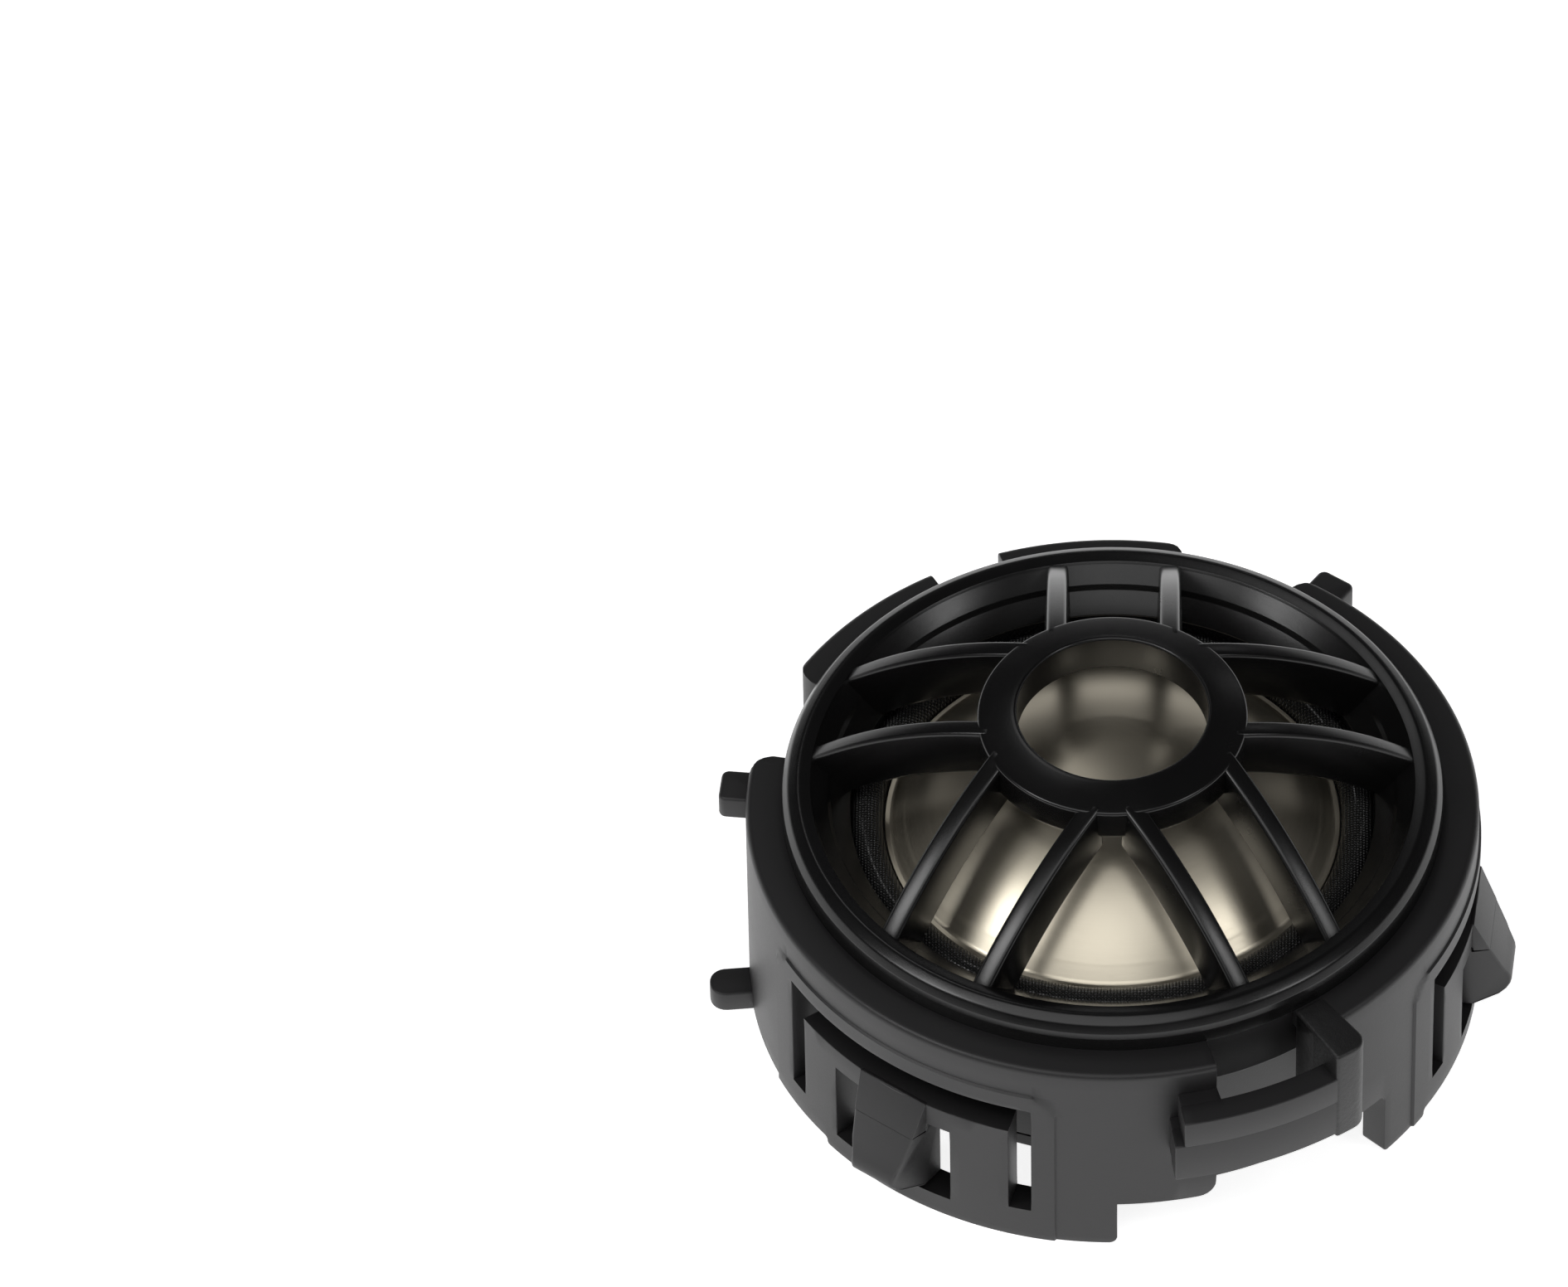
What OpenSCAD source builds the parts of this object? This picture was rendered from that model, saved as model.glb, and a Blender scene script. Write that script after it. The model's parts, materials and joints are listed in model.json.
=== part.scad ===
// Car tweeter: a 25 mm metal-dome driver behind a ribbed grille, in a snap-in housing.
// Millimetres. Z is the driver's axis, +Z out of the front. Z = 0 is the front flange's face.
// Angles round the housing run clockwise from +Y, seen from the front.

/* [Housing] */
// Outer radius of the front flange and the skirt
shell_r = 21.4; // [21.2:0.05:26]
// Thickness of the skirt wall
wall_t = 1.7; // [1.4:0.05:1.75]
// Thickness of the flange
flange_t = 1.3; // [1:0.05:1.6]
// Depth from the flange face down to the skirt's bottom edge
skirt_h = 13.95; // [13.6:0.05:17]
// How far the feet reach below the skirt's bottom edge
foot_h = 0.5; // [0.2:0.1:1]
// How far the raised pads stand proud of the skirt
pad_h = 0.14; // [0.08:0.02:0.3]
// Corner radius of the flange sectors
corner_r = 1.6; // [0.8:0.1:2]
// Wall thickness of the barrel that holds the bezel
barrel_t = 1.6; // [1.3:0.1:1.6]
// Depth of the barrel below the flange face
barrel_h = 3.85; // [3.7:0.05:4.4]
// Wall thickness of the sleeve round the motor
sleeve_t = 1.4; // [1:0.1:1.5]

/* [Latch strap] */
// Reach of the strap beyond the skirt
strap_reach = 2.4; // [2:0.1:3.5]
// Thickness of the strap's band
strap_t = 1.55; // [1:0.05:1.8]
// Height of the strap's band
strap_h = 4.75; // [3.9:0.05:5.5]
// Depth of the band's upper edge below the flange face
strap_drop = 1.8; // [1.4:0.1:2.2]

/* [Snap clips] */
// Reach of a hook beyond the skirt
hook_reach = 2.3; // [1.2:0.1:2.8]
// Width of a hook
hook_w = 4.6; // [3.6:0.1:5.4]
// Radius of a hook's rounded root
root_r = 0.75; // [0.6:0.05:0.8]
// Width of the spring panel, in degrees
panel_deg = 40; // [36:0.2:42]
// Width of the gap beside the panel, in degrees
slot_deg = 3.6; // [2.8:0.1:4.5]
// Top of the spring panel, below the flange face
panel_top = 5.45; // [5:0.05:5.8]
// Height of the gap above the panel
slot_h = 2; // [1.2:0.1:2.4]

/* [Bezel and grille] */
// Outer radius of the bezel lip
lip_r = 19.3; // [19.2:0.05:19.6]
// Radius of the lip's inner edge
lip_in_r = 17.55; // [17.2:0.05:18]
// Height of the lip above the flange face
lip_h = 1.95; // [1.6:0.05:2.4]
// Outer radius of the centre ring
ring_r = 7.85; // [7:0.05:9.5]
// Radius of the hole in the centre ring
ring_hole_r = 5.55; // [4.5:0.05:6.6]
// Radius of the sphere that the grille's face follows
face_sphere_r = 26.05; // [25:0.05:31]
// Half the distance between the two ribs of a pair
rib_off = 3.3; // [2.7:0.05:4]
// Thickness of a rib
rib_w = 1.3; // [1:0.05:1.6]
// Depth of a rib
rib_h = 3.05; // [2.4:0.05:3.7]

/* [Driver] */
// Radius of the metal dome
dome_r = 13.15; // [13:0.05:13.25]
// Height of the dome's cap
dome_h = 5.3; // [4.2:0.1:6.4]
// Metal thickness of the dome
dome_t = 0.15; // [0.1:0.01:0.2]
// Depth of the dome's edge below the lip
dome_drop = 3.55; // [3.5:0.05:3.6]
// Outer radius of the surround's roll
roll_r = 15.3; // [15.1:0.05:15.4]
// Height of the surround's roll above its edges
roll_h = 0.85; // [0.7:0.05:1.05]
// Inner radius of the voice-coil former
coil_r = 12.6; // [12.5:0.02:12.64]
// Outer radius of the steel cup
cup_r = 14.9; // [14.7:0.05:14.9]
// Height of the steel cup
cup_h = 7.4; // [6.2:0.1:7.4]
// Thickness of the magnet
magnet_t = 3.2; // [2.6:0.1:3.4]

/* [Hidden] */
$fn = 128;

black = "#1d1d1f";
charcoal = "#3a393b";
steel = "#9a9da0";
nickel = "#c4c3be";
copper = "#b5713c";

lap = 0.2;                       // how far features of one moulding run into each other
gap = 0.05;                      // clearance between pieces pushed together
skirt_z = -skirt_h;
feet_z = -skirt_h - foot_h;
wall_in_r = shell_r - wall_t;
edge_r = 0.4;                    // rounding of the flange's outer edge
clips = [216, 336, 96];          // centre of each snap clip
pad_from = 27.4;
pad_to = 29;

// Shell sectors, clockwise, and the parts of them that end above the feet: start, end, bottom
sectors = [[-61.7, 11.8], [31, 280.5]];
raised = [[-63, 13, skirt_z], [30, 122, skirt_z], [132, 163, skirt_z + 4.5],
  [162, 179, skirt_z + 2.9], [230.4, 282, skirt_z]];

// Motor and bezel levels
seat_z = -0.04;                  // top of the barrel, a shallow seat for the bezel
barrel_r = lip_r - 0.25;
barrel_in_r = lip_r - barrel_t;
pocket_r = cup_r + 0.1;
sleeve_r = pocket_r + sleeve_t;
shelf_top = -barrel_h + 1.2;
dome_z = lip_h - dome_drop;
dome_sphere_r = (pow(dome_r, 2) + pow(dome_h, 2)) / (2 * dome_h);
sheet = 0.15;                    // thickness of the surround
land_z = shelf_top + 1.1;        // top of the driver frame
gasket_top = land_z + sheet + 0.45;
cup_top = shelf_top - 0.55;
cup_bottom = cup_top - cup_h;
cup_floor_t = 1.8;
former_t = 0.12;
winding_t = 0.28;
winding_h = 2.4;
pole_r = coil_r - 0.3;
cup_in_r = coil_r + former_t + winding_t + 0.3;
sleeve_z = cup_bottom - 1;
cover_t = 0.8;
face_z0 = lip_h - sqrt(pow(face_sphere_r, 2) - pow(lip_in_r, 2));
ring_bottom = face_z0 + face_sphere_r - rib_h - 0.3;

// Rear fittings
board_top = sleeve_z - 0.5;
board_t = 1;
plus_deg = 286;
minus_deg = 293;
cap_deg = 305.5;
tail_r = 18.4;
wire_r = 0.15;
drop_r = 17.05;                  // radius on which the leads run down past the sleeve
cap_r = 1.4;
cap_x = (sleeve_r + wall_in_r) / 2;

// Turning axis of a hook
axis_r = shell_r - root_r;
axis_z = -panel_top - 2.35;

// Turns what follows so that its +X points outwards at angle a
module at(a) { rotate([0, 0, 90 - a]) children(); }

// A ring sector of rectangular section, from angle a0 to a1 clockwise
module band(r0, r1, z0, z1, a0, a1) {
  at(a1) rotate_extrude(angle = a1 - a0) translate([r0, z0]) square([r1 - r0, z1 - z0]);
}

// A tube standing on z0
module tube(r0, r1, z0, z1) {
  rotate_extrude() translate([r0, z0]) square([r1 - r0, z1 - z0]);
}

// A straight bar across angle a, w wide, of the section given in radius and height
module across(a, w) { at(a) rotate([90, 0, 0]) linear_extrude(height = w, center = true) children(); }

// A block at angle a from radius r0 to r1, w wide, with rounded outer corners
module lug(a, r0, r1, w, z0, z1, round_r) {
  at(a) translate([0, 0, z0]) linear_extrude(height = z1 - z0) {
    translate([r0, -w / 2]) square([r1 - round_r - r0, w]);
    translate([r0, round_r - w / 2]) square([r1 - r0, w - 2 * round_r]);
    for (s = [-1, 1]) translate([r1 - round_r, s * (w / 2 - round_r)]) circle(r = round_r, $fn = 32);
  }
}

// What is cut away to round the outer corner of a sector that ends at angle a; side is 1 where
// the sector lies clockwise of a, and -1 where it lies the other way
module corner_cut(a, side, z0, z1) {
  at(a) translate([shell_r - corner_r, -side * (corner_r - 0.03), z0]) difference() {
    translate([0, side > 0 ? 0 : -corner_r - 0.6, 0])
      cube([corner_r + 0.6, corner_r + 0.6, z1 - z0]);
    translate([0, 0, -1]) cylinder(r = corner_r, h = z1 - z0 + 2, $fn = 48);
  }
}

// Flange and skirt wall of one sector, down to the feet
module shell(a0, a1) {
  at(a1) rotate_extrude(angle = a1 - a0) polygon(concat(
    [[lip_r - 0.4, -flange_t], [wall_in_r, -flange_t], [wall_in_r, feet_z], [shell_r, feet_z]],
    [for (q = [0 : 22.5 : 90]) [shell_r - edge_r + edge_r * cos(q), -edge_r + edge_r * sin(q)]],
    [[lip_r + 0.02, 0], [lip_r + 0.02, seat_z - 0.03], [lip_r - 0.4, seat_z - 0.03]]));
}

// The gaps that free a clip's spring panel, and the window in it
module clip_cut(a) {
  half = panel_deg / 2;
  r0 = wall_in_r - 1;
  r1 = shell_r + 1;
  low = skirt_z + 1.9;
  difference() {
    band(r0, r1, low, -panel_top + slot_h, a - half - slot_deg, a + half + slot_deg);
    band(r0 - 1, r1 + 1, low - 1, -panel_top, a - half, a + half);
  }
  band(r0, r1, skirt_z + 1, -panel_top - 1.6, a - 10.3, a + 12);
}

// The fixed upper part of a clip's ramp, hollowed for the hook's root
module clip_ramp(a) {
  top = -panel_top + 0.15;
  low = axis_z + 0.1;
  slope = hook_reach / 5.5;
  difference() {
    across(a, hook_w) polygon([[wall_in_r + 0.1, -panel_top - 0.5], [shell_r - 0.4, -panel_top - 0.1],
      [shell_r - 0.02, top - 0.1], [shell_r + (top - low) * slope, low], [wall_in_r + 0.1, low]]);
    at(a) translate([axis_r, 0, axis_z]) rotate([90, 0, 0])
      cylinder(r = root_r + 0.08, h = hook_w + 2, center = true, $fn = 48);
  }
}

// The barrel under the bezel, its shelf under the driver, and the sleeve round the motor
module core() {
  difference() {
    union() {
      rotate_extrude() polygon([[pocket_r, sleeve_z], [sleeve_r, sleeve_z], [sleeve_r, -barrel_h],
        [barrel_r, -barrel_h], [barrel_r, seat_z], [barrel_in_r, seat_z], [barrel_in_r, shelf_top],
        [pocket_r, shelf_top]]);
      for (a = [5, 50, 128, 185, 255])
        at(a) translate([sleeve_r - lap, -0.5, sleeve_z + 0.6])
          cube([wall_in_r - sleeve_r + 2 * lap, 1, 3.5]);
      for (a = [283.3, 298.2])
        at(a) difference() {
          translate([sleeve_r - lap, -0.4, board_top]) cube([2.4, 0.8, 4]);
          translate([0, 0, board_top - 1]) cylinder(r = sleeve_r + gap, h = sleeve_z - board_top + 1.05);
        }
    }
    for (a = [plus_deg, minus_deg])
      at(a) translate([drop_r, 0, -barrel_h - 1]) cylinder(r = 0.35, h = barrel_h, $fn = 24);
  }
}

// The strap that bridges the latch notch: arm, band and end block
module strap() {
  out_r = shell_r + strap_reach;
  top = -strap_drop;
  low = top - strap_h;
  arm_r = out_r + 0.05;
  at(146.9) rotate_extrude(angle = 5.6) polygon([[lip_r - 0.5, low - 0.25], [arm_r, low - 0.25],
    [arm_r, 0.1], [lip_r + gap, 0.1], [lip_r + gap, -0.1], [lip_r - 0.5, -0.1]]);
  difference() {
    band(shell_r - 0.4, out_r, low, top, 146, 171);
    band(shell_r - 1, out_r - strap_t, low - 1, top + 1, 140, 163.4);
  }
}

module lugs() {
  // nubs under the flange
  lug(275.5, wall_in_r + lap, shell_r + 1.65, 2.35, -2.5, -0.85, 0.3);
  difference() {
    lug(35.2, wall_in_r + lap, shell_r + 1.7, 2.4, -2.5, -0.65, 0.3);
    at(35.2) translate([shell_r + 0.5, -0.55, -1.15]) cube([0.8, 1.1, 1]);
  }
  // finger and corner hook at the bottom
  lug(264, wall_in_r + lap, shell_r + 2.4, 2.1, feet_z, feet_z + 1.45, 1);
  band(shell_r - 1, shell_r + 0.6, feet_z + 0.15, feet_z + 3.4, 18, 32.5);
  lug(20.2, shell_r - 0.9, shell_r + 3.1, 1.95, feet_z, feet_z + 3.55, 0.4);
}

module housing() {
  color(charcoal) {
    difference() {
      union() {
        for (s = sectors) shell(s[0], s[1]);
        for (a = clips)
          band(wall_in_r + lap, shell_r + pad_h, feet_z + 0.3, -2.25, a - pad_from, a + pad_to);
      }
      for (s = raised) band(wall_in_r - 1, shell_r + 1, feet_z - 1, s[2], s[0], s[1]);
      for (a = clips) clip_cut(a);
      band(lip_r - 1, shell_r + 1, -strap_drop - strap_h + 0.1, 1, 146.4, 163.6);
      band(lip_r - 1, shell_r + 1, -panel_top + 0.5, 1, 329.5, 341.2);
      for (a = [31, -61.7]) corner_cut(a, 1, feet_z - 1, 1);
      for (a = [11.8, 280.5]) corner_cut(a, -1, feet_z - 1, 1);
      corner_cut(163.6, 1, -strap_drop + 0.1, 1);
      corner_cut(341.2, 1, -panel_top + slot_h - 0.5, 1);
      corner_cut(329.5, -1, -panel_top + slot_h - 0.5, 1);
    }
    core();
    strap();
    lugs();
    for (a = clips) clip_ramp(a);
  }
}

// Hook of one clip, turning about its rounded root
module clip_hook(a) {
  in_x = axis_r - root_r + 0.1;
  tip_z = -panel_top - 5.3;
  low_z = tip_z - 1.7;
  slope = hook_reach / 5.5;
  color(charcoal) difference() {
    union() {
      across(a, hook_w) polygon([[in_x, low_z], [in_x, axis_z], [shell_r, axis_z],
        [shell_r + (-panel_top + 0.15 - axis_z) * slope, axis_z - 0.06],
        [shell_r + hook_reach - 0.12, tip_z + 0.25], [shell_r + hook_reach, tip_z - 0.05],
        [shell_r + hook_reach - 0.12, tip_z - 0.3], [shell_r + 0.05, low_z]]);
      intersection() {
        at(a) translate([axis_r, 0, axis_z]) rotate([90, 0, 0])
          cylinder(r = root_r, h = hook_w, center = true, $fn = 48);
        at(a) translate([in_x, -hook_w, axis_z - 0.3]) cube([4, 2 * hook_w, 2]);
      }
    }
    for (s = [-1, 1]) at(a) translate([shell_r + hook_reach, s * hook_w / 2, -20])
      rotate([0, 0, 45]) cube([0.7, 0.7, 40], center = true);
  }
}
module clip_hook_a() { clip_hook(clips[0]); }
module clip_hook_b() { clip_hook(clips[1]); }
module clip_hook_c() { clip_hook(clips[2]); }

// Height of the grille's face at radius r
function face_z(r) = face_z0 + sqrt(pow(face_sphere_r, 2) - pow(r, 2));

// Height of the ribs' underside at radius r
function under_z(r) = face_z0 + sqrt(pow(face_sphere_r - rib_h, 2) - pow(r, 2));

// Lip, funnel and spigot, as one turned section
module bezel_section() {
  polygon([[roll_r, gasket_top], [roll_r, gasket_top + 0.7], [16.45, gasket_top + 1.67],
    [16.6, gasket_top + 1.9], [lip_in_r - 0.05, lip_h - 0.17], [lip_in_r + 0.08, lip_h - 0.06],
    [lip_in_r + 0.4, lip_h + 0.04], [lip_in_r + 0.8, lip_h + 0.08], [lip_r - 0.55, lip_h - 0.06],
    [lip_r - 0.25, lip_h - 0.35], [lip_r - 0.08, lip_h - 0.62], [lip_r, lip_h - 0.8], [lip_r, seat_z],
    [barrel_in_r - gap, seat_z], [barrel_in_r - gap, gasket_top]]);
}

// Section of the domed face, from the ring's hole out to the lip
module face_section() {
  r1 = ring_hole_r + 0.3;
  polygon(concat(
    [[ring_hole_r, ring_bottom + 0.3], [ring_hole_r, face_z(ring_hole_r) - 0.3]],
    [for (i = [0 : 12]) let(r = r1 + (lip_in_r - r1) * i / 12) [r, face_z(r)]],
    [[lip_in_r, gasket_top + 0.2]],
    [for (i = [6 : -1 : 0]) let(r = ring_r + (15.4 - ring_r) * i / 6) [r, under_z(r)]],
    [[ring_r, ring_bottom], [ring_hole_r + 0.3, ring_bottom]]));
}

module bezel_grille() {
  color(black) {
    rotate_extrude() bezel_section();
    intersection() {
      rotate_extrude() face_section();
      union() {
        cylinder(r = ring_r, h = 12);
        for (k = [0 : 4], s = [-1, 1])
          at(72 * k) translate([0, s * rib_off - rib_w / 2, -2]) cube([lip_in_r + 0.3, rib_w, 12]);
      }
    }
  }
}

module dome() {
  c = dome_z + dome_h - dome_sphere_r;
  top_edge = acos((dome_z + dome_t - c) / dome_sphere_r);
  low_edge = acos((dome_z - c) / (dome_sphere_r - dome_t));
  n = 20;
  color("#d8c39a") rotate_extrude() polygon(concat(
    [for (i = [0 : n]) [dome_sphere_r * sin(top_edge * i / n), c + dome_sphere_r * cos(top_edge * i / n)]],
    [[dome_r + 0.15, dome_z + dome_t], [dome_r + 0.15, dome_z]],
    [for (i = [n : -1 : 0]) let(q = low_edge * i / n, r = dome_sphere_r - dome_t)
      [r * sin(q), c + r * cos(q)]]));
}

// Woven half-roll with a flat land at each edge
module surround() {
  r0 = dome_r + 0.2;
  mid = (r0 + roll_r) / 2;
  half = (roll_r - r0) / 2;
  top_out = land_z + sheet;
  n = 10;
  color(black) rotate_extrude() polygon(concat(
    [[coil_r - 0.05, dome_z - sheet], [coil_r - 0.05, dome_z]],
    [for (i = [0 : n]) [mid - half * cos(180 * i / n),
      dome_z + (top_out - dome_z) * i / n + roll_h * sin(180 * i / n)]],
    [[roll_r + 1.2, top_out], [roll_r + 1.2, land_z], [roll_r, land_z]],
    [for (i = [n - 1 : -1 : 1]) [mid - (half - 0.1) * cos(180 * i / n),
      dome_z - sheet + (top_out - dome_z) * i / n + roll_h * sin(180 * i / n)]],
    [[r0, dome_z - sheet]]));
}

module coil_former() {
  color(nickel) tube(coil_r, coil_r + former_t, cup_top - 3, dome_z - sheet);
}

module coil_winding() {
  z = cup_top - 0.1 - winding_h;
  color(copper) tube(coil_r + former_t, coil_r + former_t + winding_t, z, z + winding_h);
}

// Coil ends that run up the former and lie under the surround's inner land
module coil_leads() {
  z = dome_z - sheet - 0.12;
  x = coil_r + former_t + 0.1;
  color(copper) for (a = [plus_deg, minus_deg]) at(a) {
    translate([x, 0, cup_top - 0.1]) cylinder(r = 0.1, h = z - cup_top + 0.1, $fn = 16);
    translate([x - 0.1, 0, z]) rotate([0, 90, 0]) cylinder(r = 0.1, h = 0.5, $fn = 16);
  }
}

module driver_frame() {
  out_r = barrel_in_r - 0.1;
  plate_top = shelf_top + 0.5;
  color(black) difference() {
    rotate_extrude() polygon([[13.6, cup_top], [cup_r, cup_top], [cup_r, shelf_top], [out_r, shelf_top],
      [out_r, land_z], [roll_r, land_z], [roll_r, plate_top], [13.6, plate_top]]);
    for (a = [plus_deg, minus_deg])
      at(a) translate([13, -0.3, shelf_top - gap]) cube([4.4, 0.6, plate_top - shelf_top + 0.2]);
  }
}

module face_gasket() {
  color("#2a2a2a") tube(roll_r + 0.3, roll_r + 1.2, land_z + sheet, gasket_top);
}

module pole_plate() {
  z = cup_bottom + cup_floor_t + magnet_t;
  color(steel) translate([0, 0, z]) cylinder(r = pole_r, h = cup_top - 0.2 - z);
}

module magnet() {
  color(nickel) translate([0, 0, cup_bottom + cup_floor_t]) cylinder(r = pole_r - 0.3, h = magnet_t);
}

module yoke_cup() {
  color(steel) difference() {
    translate([0, 0, cup_bottom]) cylinder(r = cup_r, h = cup_h);
    translate([0, 0, cup_bottom + cup_floor_t]) cylinder(r = cup_in_r, h = cup_h);
  }
}

module damping_foam() {
  color("#3a3a3c") translate([0, 0, cup_top - 0.2]) cylinder(r = 9.5, h = 0.8);
}

module rear_felt() {
  color("#4a4846") translate([0, 0, sleeve_z]) cylinder(r = 12.2, h = cup_bottom - sleeve_z);
}

module rear_cover() {
  color(charcoal) {
    translate([0, 0, sleeve_z - cover_t]) cylinder(r = sleeve_r, h = cover_t);
    tube(pocket_r - 1.1, pocket_r - gap, sleeve_z - 0.1, cup_bottom - 0.15);
  }
}

module terminal_board() {
  z0 = board_top - board_t;
  color("#7d5b2e") difference() {
    union() {
      band(sleeve_r + 0.15, shell_r - 0.6, z0, board_top, 281.6, 297);
      band(sleeve_r + 0.15, wall_in_r - 0.2, z0, board_top, 296, 312);
    }
    for (a = [plus_deg, minus_deg])
      at(a) translate([tail_r, 0, z0 - 1]) cylinder(r = 0.36, h = 3, $fn = 24);
    for (s = [-1, 1])
      at(cap_deg) translate([cap_x, s * 0.7, z0 - 1]) cylinder(r = 0.22, h = 3, $fn = 24);
  }
}

// A tinned blade below the board, with a foot that its rivet holds
module terminal(a) {
  foot = board_top - board_t;
  color(nickel) difference() {
    at(a) union() {
      translate([tail_r - 0.9, -0.7, foot - 0.3]) cube([1.8, 1.4, 0.3]);
      translate([tail_r - 0.9, -0.7, feet_z + 0.15]) cube([0.35, 1.4, foot - feet_z - 0.15]);
    }
    at(a) translate([tail_r, 0, foot - 1]) cylinder(r = 0.36, h = 2, $fn = 24);
  }
}
module terminal_plus() { terminal(plus_deg); }
module terminal_minus() { terminal(minus_deg); }

module rivets() {
  color("#b8a878") for (a = [plus_deg, minus_deg]) at(a) {
    translate([tail_r, 0, board_top - board_t - 0.3]) cylinder(r = 0.34, h = board_t + 0.5, $fn = 24);
    translate([tail_r, 0, board_top]) cylinder(r = 0.55, h = 0.2, $fn = 32);
  }
}

module solder_joints() {
  color("#a9adb0") for (a = [plus_deg, minus_deg]) at(a)
    translate([tail_r, 0, board_top + 0.2]) cylinder(r1 = 0.5, r2 = 0.2, h = 0.3, $fn = 32);
}

// Lead from the driver frame, down past the sleeve and out to its rivet
module lead_wire(a) {
  top = shelf_top + 0.2;
  low = board_top + 0.5 + wire_r;
  color(copper) at(a) {
    translate([13.9, 0, top]) rotate([0, 90, 0]) cylinder(r = wire_r, h = drop_r - 13.9, $fn = 24);
    translate([drop_r, 0, top]) sphere(r = wire_r, $fn = 24);
    translate([drop_r, 0, low]) cylinder(r = wire_r, h = top - low, $fn = 24);
    translate([drop_r, 0, low]) sphere(r = wire_r, $fn = 24);
    translate([drop_r, 0, low]) rotate([0, 90, 0]) cylinder(r = wire_r, h = tail_r - drop_r, $fn = 24);
  }
}
module lead_wire_plus() { lead_wire(plus_deg); }
module lead_wire_minus() { lead_wire(minus_deg); }

module capacitor() {
  color("#2b3a55") at(cap_deg) translate([cap_x, 0, board_top]) cylinder(r = cap_r, h = 6);
}

module capacitor_leads() {
  color(nickel) for (s = [-1, 1]) at(cap_deg)
    translate([cap_x, s * 0.7, board_top - board_t - 0.5]) cylinder(r = 0.2, h = board_t + 0.5, $fn = 24);
}

housing();
bezel_grille();
clip_hook_a();
clip_hook_b();
clip_hook_c();
dome();
surround();
coil_former();
coil_winding();
coil_leads();
driver_frame();
face_gasket();
pole_plate();
magnet();
yoke_cup();
damping_foam();
rear_felt();
rear_cover();
terminal_board();
terminal_plus();
terminal_minus();
rivets();
solder_joints();
lead_wire_plus();
lead_wire_minus();
capacitor();
capacitor_leads();
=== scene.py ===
# %% [markdown]
# # A car tweeter, piece by piece
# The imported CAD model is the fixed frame: it says where every piece sits and how it moves.
# This script keeps the hidden pieces as they come, and remodels the ones that show, with
# rounded moulding edges, a woven surround and a finely turned dome.

# %% Load the frame
import bpy
import json
import math
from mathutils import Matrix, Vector


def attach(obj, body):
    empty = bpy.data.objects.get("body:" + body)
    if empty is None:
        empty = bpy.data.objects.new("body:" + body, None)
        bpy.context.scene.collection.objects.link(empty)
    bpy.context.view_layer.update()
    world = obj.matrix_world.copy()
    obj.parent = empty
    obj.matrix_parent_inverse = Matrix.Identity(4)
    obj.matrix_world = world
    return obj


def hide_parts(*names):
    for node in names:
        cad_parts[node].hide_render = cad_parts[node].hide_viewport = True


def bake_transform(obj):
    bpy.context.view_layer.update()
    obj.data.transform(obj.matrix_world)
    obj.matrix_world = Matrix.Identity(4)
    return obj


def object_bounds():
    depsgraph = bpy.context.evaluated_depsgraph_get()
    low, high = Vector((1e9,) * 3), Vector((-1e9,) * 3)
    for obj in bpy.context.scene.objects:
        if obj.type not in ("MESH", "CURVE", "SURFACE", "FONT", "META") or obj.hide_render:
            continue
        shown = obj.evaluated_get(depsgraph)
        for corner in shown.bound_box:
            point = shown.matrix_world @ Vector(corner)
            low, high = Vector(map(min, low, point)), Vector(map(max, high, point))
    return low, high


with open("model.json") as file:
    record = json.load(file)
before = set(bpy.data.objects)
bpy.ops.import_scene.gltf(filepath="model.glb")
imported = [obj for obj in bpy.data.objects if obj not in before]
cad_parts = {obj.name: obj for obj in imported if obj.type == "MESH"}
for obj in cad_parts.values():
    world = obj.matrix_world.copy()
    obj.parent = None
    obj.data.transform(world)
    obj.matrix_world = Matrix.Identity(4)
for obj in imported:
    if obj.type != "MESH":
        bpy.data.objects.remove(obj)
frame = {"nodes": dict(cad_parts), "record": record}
nodes = frame["nodes"]
cad_box = [list(c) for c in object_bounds()]
MM = 0.001
print("CAD box in mm:", [[round(v / MM, 2) for v in c] for c in cad_box])

# %% [markdown]
# ## Camera
# A long lens far away keeps the round parts nearly free of perspective, as in a catalogue
# picture. The camera looks from the front, 47 degrees above the horizon. A shifted lens puts the
# object low and right in the frame without turning the camera, so upright edges stay upright.

# %% Camera
ELEVATION = math.radians(47.35)
TURN = math.radians(0.26)
DISTANCE = 900 * MM
WIDE = 1891 / 20.72 * MM          # width of the view at the object
AIM = Vector((0, 0, 1.95 * MM))    # the middle of the lip's top
ASIDE = (-0.2095, 0.0873)         # lens shift: the view's centre lies left of and above the aim

back = Vector((math.sin(TURN) * math.cos(ELEVATION), -math.cos(TURN) * math.cos(ELEVATION),
               math.sin(ELEVATION)))
bpy.ops.object.camera_add(location=AIM + back * DISTANCE)
camera = bpy.context.object
camera.name = "camera"
camera.data.sensor_width = 36
camera.data.lens = 36 * DISTANCE / WIDE
camera.data.shift_x, camera.data.shift_y = ASIDE
camera.data.clip_start = 0.01
camera.data.clip_end = 20
camera.rotation_euler = (-back).to_track_quat("-Z", "Y").to_euler()
bpy.context.scene.camera = camera
print("lens", round(camera.data.lens, 1), "mm")

# %% [markdown]
# ## Sockets that do arithmetic
# Materials are written as sums. One small class wraps a socket, so that `grain * 0.2 + 0.4`
# adds its Math nodes, and `node()` makes any other node with its settings and inputs.

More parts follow.
